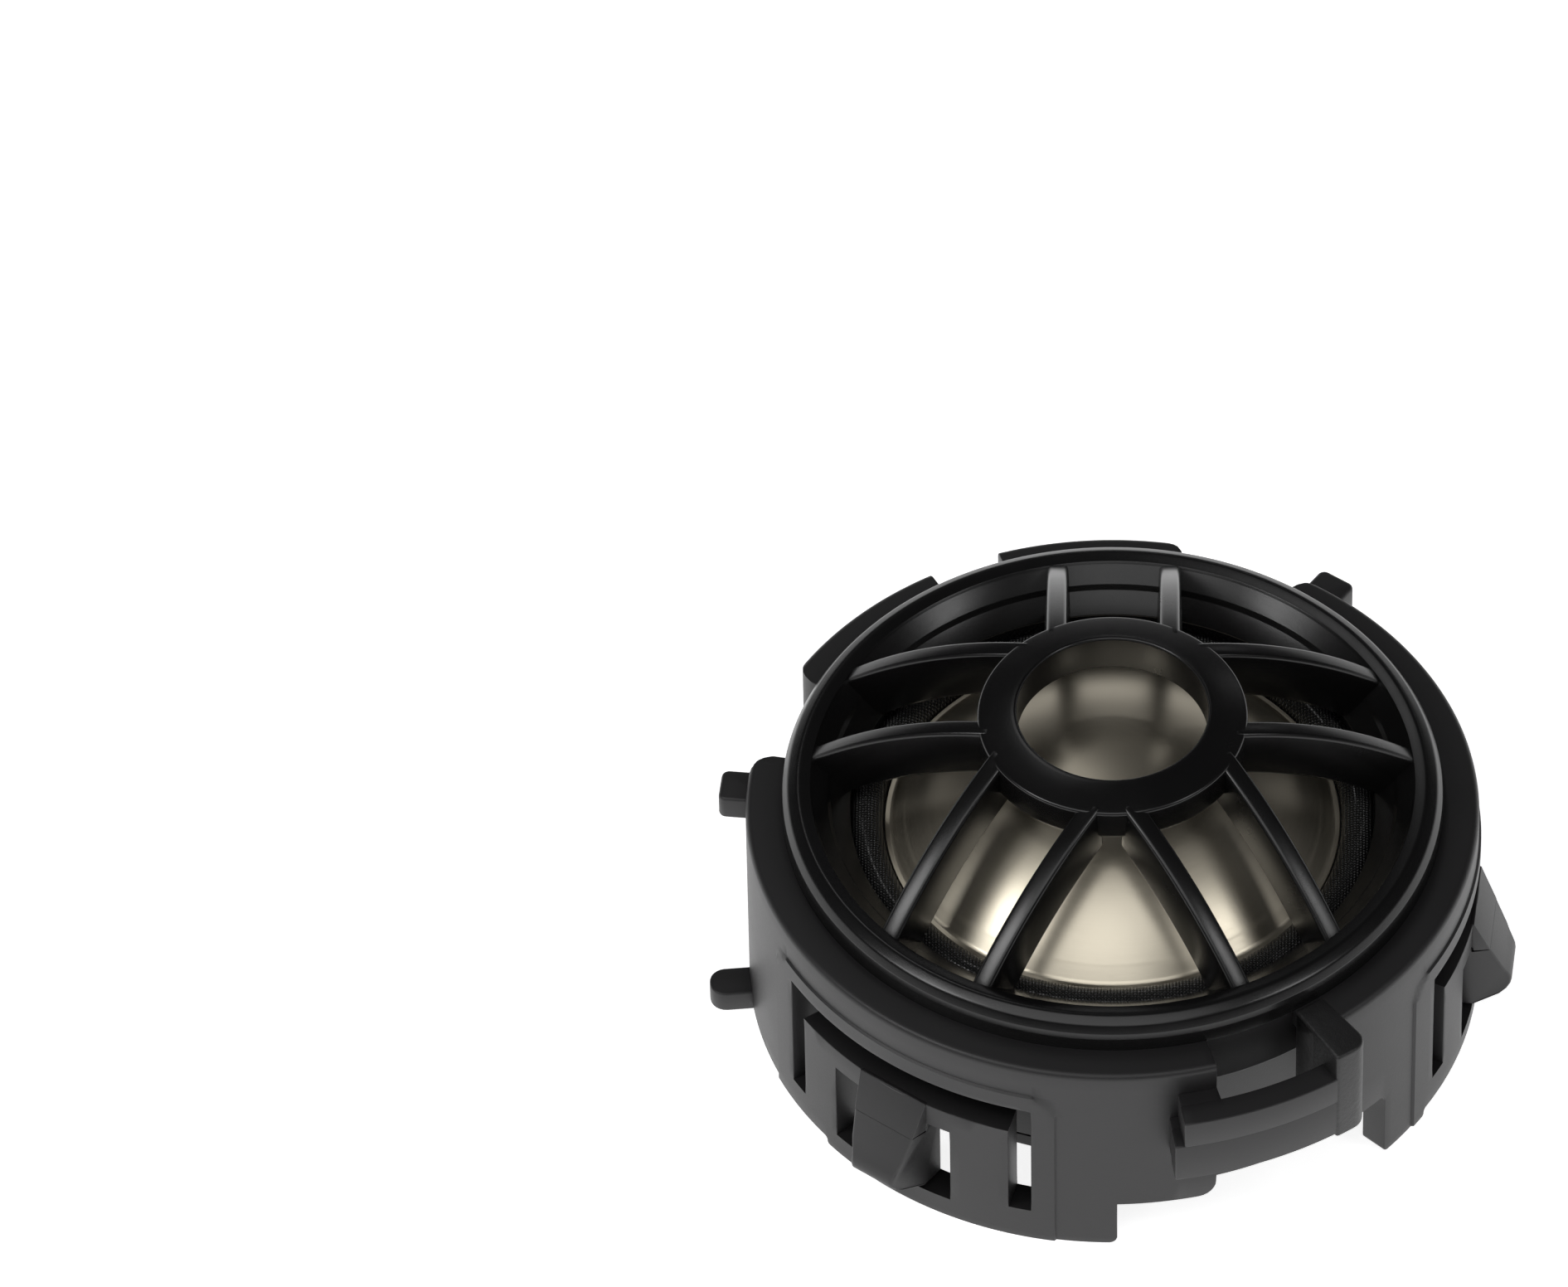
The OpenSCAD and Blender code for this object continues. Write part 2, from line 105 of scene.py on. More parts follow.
# %% Socket class
class Sock:
    """A node socket, or a plain number, that takes part in sums."""

    def __init__(self, tree, out):
        self.tree, self.out = tree, out

    def math(self, operation, *others, clamp=False):
        n = self.tree.nodes.new("ShaderNodeMath")
        n.operation, n.use_clamp = operation, clamp
        for socket, value in zip(n.inputs, (self, *others)):
            plug(self.tree, socket, value)
        return Sock(self.tree, n.outputs[0])

    def __add__(self, o): return self.math("ADD", o)
    def __radd__(self, o): return self.math("ADD", o)
    def __sub__(self, o): return self.math("SUBTRACT", o)
    def __rsub__(self, o): return (self * -1) + o
    def __mul__(self, o): return self.math("MULTIPLY", o)
    def __rmul__(self, o): return self.math("MULTIPLY", o)
    def __truediv__(self, o): return self.math("DIVIDE", o)
    def __pow__(self, o): return self.math("POWER", o)


def plug(tree, socket, value):
    """Links a socket to a Sock, or sets it to a plain value."""
    if isinstance(value, Sock):
        tree.links.new(value.out, socket)
    else:
        socket.default_value = value


def socket_of(sockets, key):
    """A socket by its place, its identifier, or its name with underscores."""
    if isinstance(key, int):
        return sockets[key]
    return next(s for s in sockets if key in (s.identifier, s.name.replace(" ", "_")))


def add_node(tree, kind, settings=(), out=0, **inputs):
    """Adds a node: its settings first, then its sockets' values or links."""
    n = tree.nodes.new("ShaderNode" + kind)
    for key, value in dict(settings).items():
        if key == "stops":
            ramp = n.color_ramp.elements
            while len(ramp) < len(value):
                ramp.new(0.5)
            for element, (place, shade) in zip(ramp, value):
                element.position, element.color = place, (*shade, 1)
        else:
            setattr(n, key, value)
    for key, value in inputs.items():
        plug(tree, socket_of(n.inputs, key), value)
    return Sock(tree, socket_of(n.outputs, out))


class Finish:
    """A new material, with its Principled shader and a way to add nodes."""

    def __init__(self, name, **fixed):
        self.material = bpy.data.materials.new(name)
        self.material.use_nodes = True
        self.tree = self.material.node_tree
        self.shader = self.tree.nodes["Principled BSDF"]
        for socket, value in fixed.items():
            self.shader.inputs[socket.replace("_", " ")].default_value = value

    def node(self, kind, settings=(), out=0, **inputs):
        return add_node(self.tree, kind, settings, out, **inputs)

    def place(self):
        """Object coordinates: metres in the object's own frame."""
        return self.node("TexCoord", out="Object")

    def across(self):
        """The X and Y of the object's own frame."""
        at = self.place()
        return tuple(self.node("SeparateXYZ", out=axis, Vector=at) for axis in "XY")

    def grain(self, per_metre, detail=2.0, rough=0.5, at=None):
        """Noise from 0 to 1, that many lumps to the metre."""
        return self.node("TexNoise", Vector=at or self.place(), Scale=per_metre, Detail=detail,
                         Roughness=rough)

    def tint(self, mask, dark, light):
        """A colour between two, by a mask."""
        return self.node("Mix", {"data_type": "RGBA"}, "Result_Color", Factor_Float=mask,
                         A_Color=(*dark, 1), B_Color=(*light, 1))

    def set(self, **links):
        for socket, value in links.items():
            plug(self.tree, self.shader.inputs[socket.replace("_", " ")], value)

    def relief(self, height, depth, strength=1.0):
        """Feeds a height into the shader's normal; depth is in metres."""
        self.set(Normal=self.node("Bump", Height=height, Distance=depth, Strength=strength))


# %% [markdown]
# ## Moulded plastic
# The housing is matt: its mould was textured, so its skin is a fine even grain. The bezel and
# grille come from a polished mould. They are satin and darker, with a few hair scratches.

# %% Housing and bezel plastic
def matt_plastic(name="housing_plastic", shade=(0.0128, 0.0123, 0.0129), coarse=0.0):
    f = Finish(name, IOR=1.5, Specular_IOR_Level=0.5)
    fine = f.grain(11000, 2.0, 0.6)
    mid = f.grain(2600, 3.0, 0.6)
    cloud = f.grain(160, 3.0, 0.55)
    f.set(Base_Color=f.tint(fine * 0.45 + cloud * 0.55, [c * 0.8 for c in shade],
                            [c * 1.25 for c in shade]),
          Roughness=fine * 0.10 + cloud * 0.08 + 0.36)
    f.relief(fine * 0.5 + mid * (0.5 + coarse), 0.000012 + coarse * 0.00003, 0.55)
    return f.material


def satin_plastic(name="bezel_plastic", shade=(0.0042, 0.0041, 0.0042)):
    f = Finish(name, IOR=1.5, Specular_IOR_Level=0.5)
    fine = f.grain(7000, 2.0, 0.6)
    cloud = f.grain(120, 3.0, 0.5)
    smear = f.grain(420, 4.0, 0.7)
    f.set(Base_Color=f.tint(cloud, [c * 0.8 for c in shade], [c * 1.3 for c in shade]),
          Roughness=cloud * 0.10 + smear * 0.08 + 0.16)
    f.relief(fine, 0.000004, 0.4)
    return f.material


HOUSING = matt_plastic()
# The arm's plastic is darker than the housing's as painted shade; its coarser bump is surface texture.
SHADED_ROUGH_ARM = matt_plastic("spark_textured_plastic", (0.0102, 0.0100, 0.0102), coarse=1.0)
BEZEL = satin_plastic()
FRAME_BLACK = matt_plastic("frame_plastic", (0.01, 0.01, 0.01))

# %% [markdown]
# ## The dome's metal
# A pressed aluminium foil, brushed in circles and anodised a pale champagne gold. The circles
# stretch the noise round the axis, so the coordinate is the radius, with little change by angle.

# %% Anodised aluminium
def anodised():
    f = Finish("anodised_dome", Metallic=1.0)
    x, y = f.across()
    radius = (x * x + y * y) ** 0.5
    turned_by = y.math("ARCTAN2", x)
    lay = f.node("CombineXYZ", X=radius * 9000, Y=turned_by * 1.3, Z=0.0)
    brushed = f.node("TexNoise", Vector=lay, Scale=1.0, Detail=5.0, Roughness=0.65)
    cloud = f.grain(90, 3.0, 0.5)
    speck = f.grain(9000, 1.0, 0.5)
    rim = (radius * 1000 - 12.15).math("ABSOLUTE") * 7
    ring = (1 - rim).math("MAXIMUM", 0.0)
    f.set(Base_Color=f.tint(brushed * 0.35 + cloud * 0.65, (0.60, 0.545, 0.43), (0.76, 0.70, 0.575)),
          Roughness=brushed * 0.10 + speck * 0.06 + cloud * 0.08 + ring * 0.05 + 0.24)
    f.relief(brushed * 0.6 + speck * 0.4, 0.0000035, 0.5)
    return f.material


DOME_GOLD = anodised()

# %% [markdown]
# ## The surround's cloth
# A thin plain weave, soaked in glossy rubber. The threads run along X and Y through the whole
# sheet, so the pattern comes from Object coordinates: one sine for each set of threads, and
# every crossing stands up as a bead that catches the light.

# %% Coated weave
THREAD = 0.19 * MM


def coated_weave():
    f = Finish("woven_fabric", IOR=1.52, Coat_Roughness=0.1)
    wander = f.grain(700, 2.0, 0.5) * 0.00006
    x, y = f.across()
    x, y = x + wander, y - wander
    step = math.pi / THREAD
    warp = (x * step).math("SINE")
    weft = (y * step).math("SINE")
    bead = (warp * weft).math("ABSOLUTE")
    over = (warp * weft) * 0.5 + 0.5
    f.set(Base_Color=f.tint(bead, (0.003, 0.003, 0.003), (0.03, 0.03, 0.029)),
          Roughness=0.36 - bead * 0.18,
          Coat_Weight=bead * 0.9)
    f.relief(bead * 0.8 + over * 0.2, 0.00012, 1.0)
    return f.material


WEAVE = coated_weave()

# %% [markdown]
# ## The hidden pieces' finishes
# Steel, nickel, copper, foam, felt and board get their own finish too: each is one colour pair,
# a roughness and a grain, with the grain's size set for the material.

# %% Finishes of the inner pieces
def plain_finish(name, dark, light, rough, grain, depth, metal=0.0):
    f = Finish(name, Metallic=metal)
    fine = f.grain(grain, 3.0, 0.6)
    cloud = f.grain(grain * 0.06, 2.0, 0.5)
    f.set(Base_Color=f.tint(fine * 0.5 + cloud * 0.5, dark, light),
          Roughness=fine * 0.12 + cloud * 0.08 + (rough - 0.1))
    f.relief(fine, depth, 0.6)
    return f.material


INNER = {
    "plated_steel": plain_finish("plated_steel", (0.42, 0.43, 0.44), (0.6, 0.6, 0.59), 0.34, 5000, 4e-6, 1.0),
    "nickel_magnet": plain_finish("nickel_magnet", (0.58, 0.56, 0.52), (0.7, 0.68, 0.64), 0.22, 4000, 2e-6, 1.0),
    "aluminium_foil": plain_finish("aluminium_foil", (0.7, 0.7, 0.69), (0.85, 0.85, 0.84), 0.3, 6000, 3e-6, 1.0),
    "copper_wire": plain_finish("copper_wire", (0.6, 0.26, 0.12), (0.8, 0.42, 0.22), 0.28, 8000, 4e-6, 1.0),
    "foam": plain_finish("foam", (0.012, 0.012, 0.012), (0.04, 0.04, 0.04), 0.95, 5000, 6e-5),
    "felt": plain_finish("felt", (0.035, 0.033, 0.03), (0.09, 0.085, 0.08), 0.97, 6000, 6e-5),
    "phenolic_board": plain_finish("phenolic_board", (0.17, 0.085, 0.03), (0.3, 0.17, 0.07), 0.45, 3000, 6e-6),
    "tinned_brass": plain_finish("tinned_brass", (0.6, 0.6, 0.56), (0.78, 0.77, 0.73), 0.3, 5000, 4e-6, 1.0),
    "brass": plain_finish("brass", (0.6, 0.43, 0.17), (0.78, 0.6, 0.3), 0.3, 4000, 4e-6, 1.0),
    "solder": plain_finish("solder", (0.5, 0.5, 0.5), (0.72, 0.72, 0.72), 0.2, 2500, 1e-5, 1.0),
    "capacitor_film": plain_finish("capacitor_film", (0.015, 0.03, 0.09), (0.03, 0.06, 0.16), 0.25, 1500, 5e-6),
    "frame_plastic": FRAME_BLACK, "housing_plastic": HOUSING, "bezel_plastic": BEZEL,
    "anodised_dome": DOME_GOLD, "woven_fabric": WEAVE}

slots = {s["node"]: s["material_slot"] for s in frame["record"]["subparts"]}
for name, part in nodes.items():
    part.data.materials.clear()
    part.data.materials.append(INNER[slots[name]])
print("finished", len(nodes), "CAD nodes")

# %% [markdown]
# ## Helpers for modelling
# Every piece starts from a primitive. `outline` turns a flat disc's corners into the piece's
# section, `turned` spins it round the axis, and `prism` pulls it straight. `soften` rounds a
# section's corners first, each by its own radius.

# %% Modelling helpers
def only(obj):
    """Makes obj the one selected and active object."""
    bpy.ops.object.select_all(action="DESELECT")
    obj.select_set(True)
    bpy.context.view_layer.objects.active = obj


def apply_modifier(obj, kind, **settings):
    only(obj)
    m = obj.modifiers.new(kind.lower(), kind)
    for key, value in settings.items():
        setattr(m, key, value)
    bpy.ops.object.modifier_apply(modifier=m.name)


def pick(obj, kind, test):
    """In edit mode, selects only the faces, edges or vertices that pass the test."""
    bpy.ops.mesh.select_mode(type=kind)
    bpy.ops.mesh.select_all(action="DESELECT")
    bpy.ops.object.mode_set(mode="OBJECT")
    mesh = obj.data
    items = {"FACE": mesh.polygons, "EDGE": mesh.edges, "VERT": mesh.vertices}[kind]
    count = 0
    for item in items:
        if test(item):
            item.select = True
            count += 1
    bpy.ops.object.mode_set(mode="EDIT")
    return count


def soften(corners, steps=5):
    """A closed section's points, with each (x, y, radius) corner rounded."""
    points = []
    count = len(corners)
    for i, (x, y, radius) in enumerate(corners):
        p = Vector((x, y))
        a = Vector(corners[i - 1][:2]) - p
        b = Vector(corners[(i + 1) % count][:2]) - p
        half = a.angle(b) / 2
        reach = min(radius / math.tan(half), a.length * 0.49, b.length * 0.49)
        if radius <= 0 or reach < 1e-4:
            points.append((x, y))
            continue
        r = reach * math.tan(half)
        centre = p + (a.normalized() + b.normalized()).normalized() * (r / math.sin(half))
        start, end = p + a.normalized() * reach - centre, p + b.normalized() * reach - centre
        sweep = start.angle_signed(end)
        for k in range(steps + 1):
            turn = -sweep * k / steps
            c, s = math.cos(turn), math.sin(turn)
            points.append((centre.x + start.x * c - start.y * s, centre.y + start.x * s + start.y * c))
    return points


def outline(name, points, filled):
    """A disc whose corners are moved onto a section in the XZ plane, in millimetres."""
    bpy.ops.mesh.primitive_circle_add(vertices=len(points), radius=MM,
                                      fill_type="NGON" if filled else "NOTHING")
    obj = bpy.context.object
    obj.name = obj.data.name = name
    for vertex, (x, z) in zip(obj.data.vertices, points):
        vertex.co = (x * MM, 0, z * MM)
    return obj


def finish_piece(obj, material, body, flat=35):
    """Smooth shading, the finish, and the body that the piece rides on."""
    only(obj)
    bpy.ops.object.shade_smooth_by_angle(angle=math.radians(flat))
    obj.data.materials.clear()
    obj.data.materials.append(material)
    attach(obj, body)
    return obj


def tidy_mesh(obj, outwards=True):
    only(obj)
    bpy.ops.object.mode_set(mode="EDIT")
    bpy.ops.mesh.select_all(action="SELECT")
    bpy.ops.mesh.remove_doubles(threshold=1e-7)
    if outwards:
        bpy.ops.mesh.normals_make_consistent(inside=False)
    bpy.ops.object.mode_set(mode="OBJECT")


def turned(name, points, steps=180):
    """A closed section, spun once round Z."""
    obj = outline(name, points, filled=False)
    only(obj)
    bpy.ops.object.mode_set(mode="EDIT")
    bpy.ops.mesh.select_all(action="SELECT")
    bpy.ops.mesh.spin(steps=steps, angle=2 * math.pi, center=(0, 0, 0), axis=(0, 0, 1))
    bpy.ops.object.mode_set(mode="OBJECT")
    tidy_mesh(obj)
    return obj


def at_angle(obj, degrees):
    """Turns a piece made along +X so that it points outwards at that angle."""
    a = math.radians(90 - degrees)
    c, s = math.cos(a), math.sin(a)
    for v in obj.data.vertices:
        x, y = v.co.x, v.co.y
        v.co.x, v.co.y = x * c - y * s, x * s + y * c


def sharp_edges(mesh, degrees=30):
    """The vertex pairs of the edges that fold by more than an angle."""
    beside = {}
    for f in mesh.polygons:
        for key in f.edge_keys:
            beside.setdefault(key, []).append(f.normal.copy())
    return {k for k, n in beside.items() if len(n) == 2 and n[0].angle(n[1]) > math.radians(degrees)}


def round_edges(obj, test, radius, segments=4):
    """Rounds the sharp edges whose two ends pass the test; ends are given in millimetres."""
    sharp = sharp_edges(obj.data)
    spots = [v.co / MM for v in obj.data.vertices]
    only(obj)
    bpy.ops.object.mode_set(mode="EDIT")
    found = pick(obj, "EDGE", lambda e: tuple(sorted(e.vertices)) in sharp
                 and test(*(spots[i] for i in e.vertices)))
    if found:
        bpy.ops.mesh.bevel(offset=radius * MM, segments=segments, affect="EDGES", clamp_overlap=True)
    bpy.ops.object.mode_set(mode="OBJECT")
    return found


def prism(name, points, width, degrees, edge=0.12, taper=None, keep=lambda a, b: False):
    """A section given in radius and height, pulled straight across an angle."""
    obj = outline(name, points, filled=True)
    only(obj)
    bpy.ops.object.mode_set(mode="EDIT")
    bpy.ops.mesh.select_all(action="SELECT")
    bpy.ops.transform.translate(value=(0, -width / 2 * MM, 0))
    bpy.ops.mesh.extrude_region_move(TRANSFORM_OT_translate={"value": (0, width * MM, 0)})
    bpy.ops.object.mode_set(mode="OBJECT")
    tidy_mesh(obj)
    if taper:
        for v in obj.data.vertices:
            v.co.y *= taper(v.co.x / MM)
    round_edges(obj, lambda a, b: not keep(a, b), edge, 3)
    at_angle(obj, degrees)
    return obj


# %% [markdown]
# ## Rolled walls
# The skirt is cut flat and then rolled, as sheet metal would be. Flat, every slot is a rectangle
# and a bevel is easy. A flat point (u, out, z) has u millimetres along the skirt's circumference,
# out millimetres beyond its face. Rolling sends it to an angle and a radius.

# %% Rolling
SKIRT_R = 21.4
TO_U = math.pi / 180 * SKIRT_R   # millimetres along the skirt for one degree


def roll(obj):
    """Wraps a flat piece round the axis."""
    for v in obj.data.vertices:
        angle, radius = v.co.x / MM / SKIRT_R, SKIRT_R * MM + v.co.y
        v.co.x, v.co.y = radius * math.sin(angle), radius * math.cos(angle)


def slice_along(obj, axis, places):
    """Cuts the whole mesh by planes square to an axis, and keeps both sides."""
    only(obj)
    bpy.ops.object.mode_set(mode="EDIT")
    normal = [0, 0, 0]
    normal["XYZ".index(axis)] = 1
    for place in places:
        bpy.ops.mesh.select_all(action="SELECT")
        bpy.ops.mesh.bisect(plane_co=[n * place * MM for n in normal], plane_no=normal)
    bpy.ops.object.mode_set(mode="OBJECT")


def block(name, low, high, edge=0.15, segments=3):
    """A bevelled box between two corners, in millimetres."""
    centre = [(a + b) / 2 * MM for a, b in zip(low, high)]
    size = [(b - a) * MM for a, b in zip(low, high)]
    bpy.ops.mesh.primitive_cube_add(size=1, location=centre, scale=size)
    obj = bpy.context.object
    obj.name = obj.data.name = name
    bpy.ops.object.transform_apply(location=True, rotation=True, scale=True)
    if edge:
        apply_modifier(obj, "BEVEL", width=edge * MM, segments=segments, limit_method="ANGLE",
                       angle_limit=math.radians(30))
    return obj


def rolled_block(name, start, end, inner, outer, low, high, edge=0.15):
    """A bevelled sector of a ring: angles in degrees, radii and heights in millimetres."""
    obj = block(name, (start * TO_U, inner - SKIRT_R, low), (end * TO_U, outer - SKIRT_R, high), edge)
    count = max(2, int((end - start) / 1.5))
    slice_along(obj, "X", [(start + (end - start) * k / count) * TO_U for k in range(1, count)])
    roll(obj)
    return obj


def joined(name, parts):
    """One piece made of several shells."""
    bpy.ops.object.select_all(action="DESELECT")
    for p in parts:
        p.select_set(True)
    bpy.context.view_layer.objects.active = parts[0]
    if len(parts) > 1:
        bpy.ops.object.join()
    obj = bpy.context.object
    obj.name = obj.data.name = name
    return obj


# %% [markdown]
# ## The skirt
# One plate takes the whole circumference. It is sliced at every line where something starts or
# stops, and the cells of the slots, windows and notches are deleted. Solidify gives the wall its
# thickness, the top row is pulled inwards as the flange, and the edges are rounded. Last come
# the raised pads round the clips, pressed out by a seventh of a millimetre.

# %% Skirt plate
CLIPS = (216, 336, 96)
FEET_Z, SKIRT_Z = -14.45, -13.95
WALL = 1.7
PAD = 0.14
CORNER = 1.6
ENDS = ((-61.7, 11.8), (31, 280.5))
LATCH = (146.9, 163.4)


def near(angle, centre):
    """Signed degrees from centre, clockwise."""
    return (angle - centre + 180) % 360 - 180


def bottom_at(angle):
    for start, end, z in ((122, 132, FEET_Z), (132, 163.4, -9.45), (163.4, 179, -11.05),
                          (179, 230.4, FEET_Z)):
        if start < angle < end:
            return z
    return SKIRT_Z


def wall_here(angle, z):
    """True where the skirt has material."""
    angle %= 360
    if 11.8 < angle < 31 or 280.5 < angle < 298.3 or z < bottom_at(angle):
        return False
    if LATCH[0] < angle < LATCH[1] and z > -6.5:
        return False
    if 329.5 < angle < 341.2 and z > -3.45:
        return False
    for clip in CLIPS:
        d = near(angle, clip)
        if abs(d) < 23.6 and -5.45 < z < -3.45:
            return False
        if 20 < abs(d) < 23.6 and -12.05 < z < -3.45:
            return False
        if -10.3 < d < 12 and -12.95 < z < -7.05:
            return False
    return True


first, last = ENDS[0][0], ENDS[1][1]
bpy.ops.mesh.primitive_plane_add(size=1)
skirt = bpy.context.object
skirt.name = skirt.data.name = "skirt_and_flange"
for vertex in skirt.data.vertices:
    along = (first if vertex.co.x < 0 else last) * TO_U * MM
    vertex.co = (along, 0, FEET_Z * MM if vertex.co.y < 0 else 0)
marks = {11.8, 31, 122, 132, *LATCH, 179, 230.4, 329.5 - 360, 341.2 - 360}
for clip in CLIPS:
    centre = clip - 360 if clip > 298 else clip
    marks |= {centre + d for d in (-23.6, -20, -10.3, 12, 20, 23.6)}
slice_along(skirt, "X", [m * TO_U for m in sorted(marks)])
slice_along(skirt, "Z", (-1.3, -3.45, -5.45, -6.5, -7.05, -9.45, -11.05, -12.05, -12.95, SKIRT_Z))
only(skirt)
bpy.ops.object.mode_set(mode="EDIT")
cut = pick(skirt, "FACE", lambda f: not wall_here(f.center.x / MM / TO_U, f.center.z / MM))
bpy.ops.mesh.delete(type="FACE")
bpy.ops.mesh.select_all(action="SELECT")
bpy.ops.mesh.normals_make_consistent(inside=False)
bpy.ops.object.mode_set(mode="OBJECT")
if skirt.data.polygons[0].normal.y < 0:
    only(skirt)
    bpy.ops.object.mode_set(mode="EDIT")
    bpy.ops.mesh.select_all(action="SELECT")
    bpy.ops.mesh.flip_normals()
    bpy.ops.object.mode_set(mode="OBJECT")
apply_modifier(skirt, "SOLIDIFY", thickness=WALL * MM, offset=-1)
print("skirt cells cut away:", cut, "left:", len(skirt.data.polygons))

# %% [markdown]
# ## Flange and rounded edges
# The flange is the skirt's top row of faces, pulled inwards, so that both stay one moulding. The
# corners of slots and feet are rounded next, then the front edge, and last a small bevel breaks
# every edge that is left, as a mould does.

# %% Flange, and the rounding of the edges
only(skirt)
bpy.ops.object.mode_set(mode="EDIT")
pick(skirt, "FACE", lambda f: f.center.z > -1.3 * MM and f.normal.y < -0.9)
bpy.ops.mesh.extrude_region_move(TRANSFORM_OT_translate={"value": (0, -0.6 * MM, 0)})
bpy.ops.object.mode_set(mode="OBJECT")


def through(a, b):
    """An edge that runs through the wall at a corner of a slot, window or notch."""
    return abs(a.y - b.y) > 0.5 and a.z < -1.4


# The corners along the lower rim have their own radii.
RIM_CORNERS = ((163.4, -11.05, 1.05), (179, FEET_Z, 1.0), (230.4, FEET_Z, 0.24), (230.4, SKIRT_Z, 0.24),
               (122, FEET_Z, 0.24), (122, SKIRT_Z, 0.24), (132, FEET_Z, 0.35), (132, -9.45, 0.5))
for degrees, z, radius in RIM_CORNERS:
    found = round_edges(skirt, lambda a, b: through(a, b) and abs(a.x - degrees * TO_U) < 0.05
                        and abs(a.z - z) < 0.05, radius, 6)
    print("rim corner at", degrees, "edges:", found)
print("slot corners:", round_edges(skirt, through, 0.42, 4))
round_edges(skirt, lambda a, b: min(a.z, b.z) > -0.01 and min(a.y, b.y) > -0.01, 0.4, 5)
apply_modifier(skirt, "BEVEL", width=0.13 * MM, segments=3, limit_method="ANGLE",
               angle_limit=math.radians(32), use_clamp_overlap=True)
print("skirt faces after rounding:", len(skirt.data.polygons))

# %% [markdown]
# ## Raised pads, and the roll
# Round each hook the skirt is a little thicker, in a pad with round corners. The flat skirt is
# sliced finely first, because a wall can only curve where it has edges to bend at. Then the pads
# are raised, the ends of each stretch are rounded, and the whole is rolled.

# %% Fine slices, raised pads, rounded ends, and the roll
PAD_LOW, PAD_HIGH, PAD_TOP = -27.4, 29, -2.25
PAD_CORNER = 1.5
fine = set()
angle = first
while angle < last:
    fine.add(round(angle * TO_U, 4))
    angle += 1.5
for start, end in ENDS:
    for k in range(7):
        fine |= {start * TO_U + CORNER * k / 6, end * TO_U - CORNER * k / 6}
for clip in CLIPS:
    centre = clip - 360 if clip > 298 else clip
    for side, sign in ((PAD_LOW, 1), (PAD_HIGH, -1)):
        edge_u = (centre + side) * TO_U
        fine |= {edge_u - sign * 0.05, edge_u + sign * 0.05}
        fine |= {edge_u + sign * PAD_CORNER * k / 5 for k in range(1, 6)}
slice_along(skirt, "X", sorted(fine))
slice_along(skirt, "Z", [PAD_TOP + 0.05, PAD_TOP - 0.05]
            + [PAD_TOP - PAD_CORNER * k / 5 for k in range(1, 6)])


def pad_depth(u, z):
    """How far inside a pad's rounded outline a point lies, in millimetres."""
    best = -1.0
    for clip in CLIPS:
        centre = clip - 360 if clip > 298 else clip
        left, right_side = (centre + PAD_LOW) * TO_U, (centre + PAD_HIGH) * TO_U
        inside_u, inside_z = min(u - left, right_side - u), PAD_TOP - z
        if inside_u < PAD_CORNER and inside_z < PAD_CORNER:
            depth = PAD_CORNER - math.hypot(PAD_CORNER - inside_u, PAD_CORNER - inside_z)
        else:
            depth = min(inside_u, inside_z)
        best = max(best, depth)
    return best


for v in skirt.data.vertices:
    u, out, z = v.co.x / MM, v.co.y / MM, v.co.z / MM
    if out > -0.5:
        out += PAD * max(0.0, min(1.0, pad_depth(u, z) / 0.1 + 0.5))
    gap = min(min(abs(u - a * TO_U) for a in pair) for pair in ENDS)
    if gap < CORNER:
        out = min(out, -(CORNER - math.sqrt(max(0.0, CORNER ** 2 - (CORNER - gap) ** 2))))
    v.co.y = out * MM
roll(skirt)
tidy_mesh(skirt, outwards=False)
print("skirt faces rolled:", len(skirt.data.polygons))
finish_piece(skirt, HOUSING, "shell", 28)
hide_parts("housing")

# %% [markdown]
# ## Barrel, shelf and sleeve
# Inside the skirt stands the barrel that takes the bezel. Below it the same wall narrows to a
# sleeve round the motor. It is one turned section, with webs out to the skirt.

# %% Barrel and webs
barrel = turned("barrel_and_sleeve", soften([
    (15.0, -11.6, 0.1), (16.4, -11.6, 0.2), (16.4, -3.85, 0.3), (19.05, -3.85, 0.2), (19.05, -0.04, 0.06),
    (17.7, -0.04, 0.1), (17.7, -2.65, 0.1), (15.0, -2.65, 0.1)], 3))
webs = [barrel]
for angle in (5, 50, 128, 185, 255):
    web = block("web", (16.2, -0.5, -11.0), (19.9, 0.5, -7.5), 0.12)
    at_angle(web, angle)
    webs.append(web)
for angle in (283.3, 298.2):
    post = block("post", (16.2, -0.4, -12.1), (18.6, 0.4, -8.1), 0.1)
    at_angle(post, angle)
    webs.append(post)
barrel = joined("barrel_and_sleeve", webs)
finish_piece(barrel, HOUSING, "shell", 30)

# %% [markdown]
# ## Latch strap, nubs, finger and corner hook
# These are blocks on the skirt. The strap bridges the notch at the front right: its arm has the
# coarse skin of a spark-eroded mould and a darker colour, which is painted shade, and its band
# carries a fine parting line.

# %% Strap
def roll_block(obj, start, end):
    """Slices a flat block finely and rolls it."""
    count = max(2, int((end - start) / 1.5))
    slice_along(obj, "X", [(start + (end - start) * k / count) * TO_U for k in range(1, count)])
    roll(obj)
    return obj


arm = block("strap_arm", (141.3 * TO_U, 19.4 - SKIRT_R, -6.8), (146.9 * TO_U, 23.85 - SKIRT_R, 0.1), 0)
round_edges(arm, lambda a, b: min(a.y, b.y) > 2.4 and max(a.x, b.x) < 142 * TO_U, 0.95, 8)
round_edges(arm, lambda a, b: True, 0.2, 4)
roll_block(arm, 141.3, 146.9)
# The arm's darker colour is painted shade.
finish_piece(arm, SHADED_ROUGH_ARM, "shell", 30)
band = joined("strap_band", [
    rolled_block("band_top", 146, 169.7, 22.25, 23.8, -3.8, -1.8, 0.12),
    rolled_block("band_low", 146, 171, 22.25, 23.78, -6.55, -3.7, 0.12),
    rolled_block("band_end", 163.4, 169.6, 21.0, 23.7, -6.5, -1.82, 0.12),
    rolled_block("band_end_low", 163.5, 170.9, 21.0, 23.7, -6.5, -3.75, 0.12)])
finish_piece(band, HOUSING, "shell", 30)

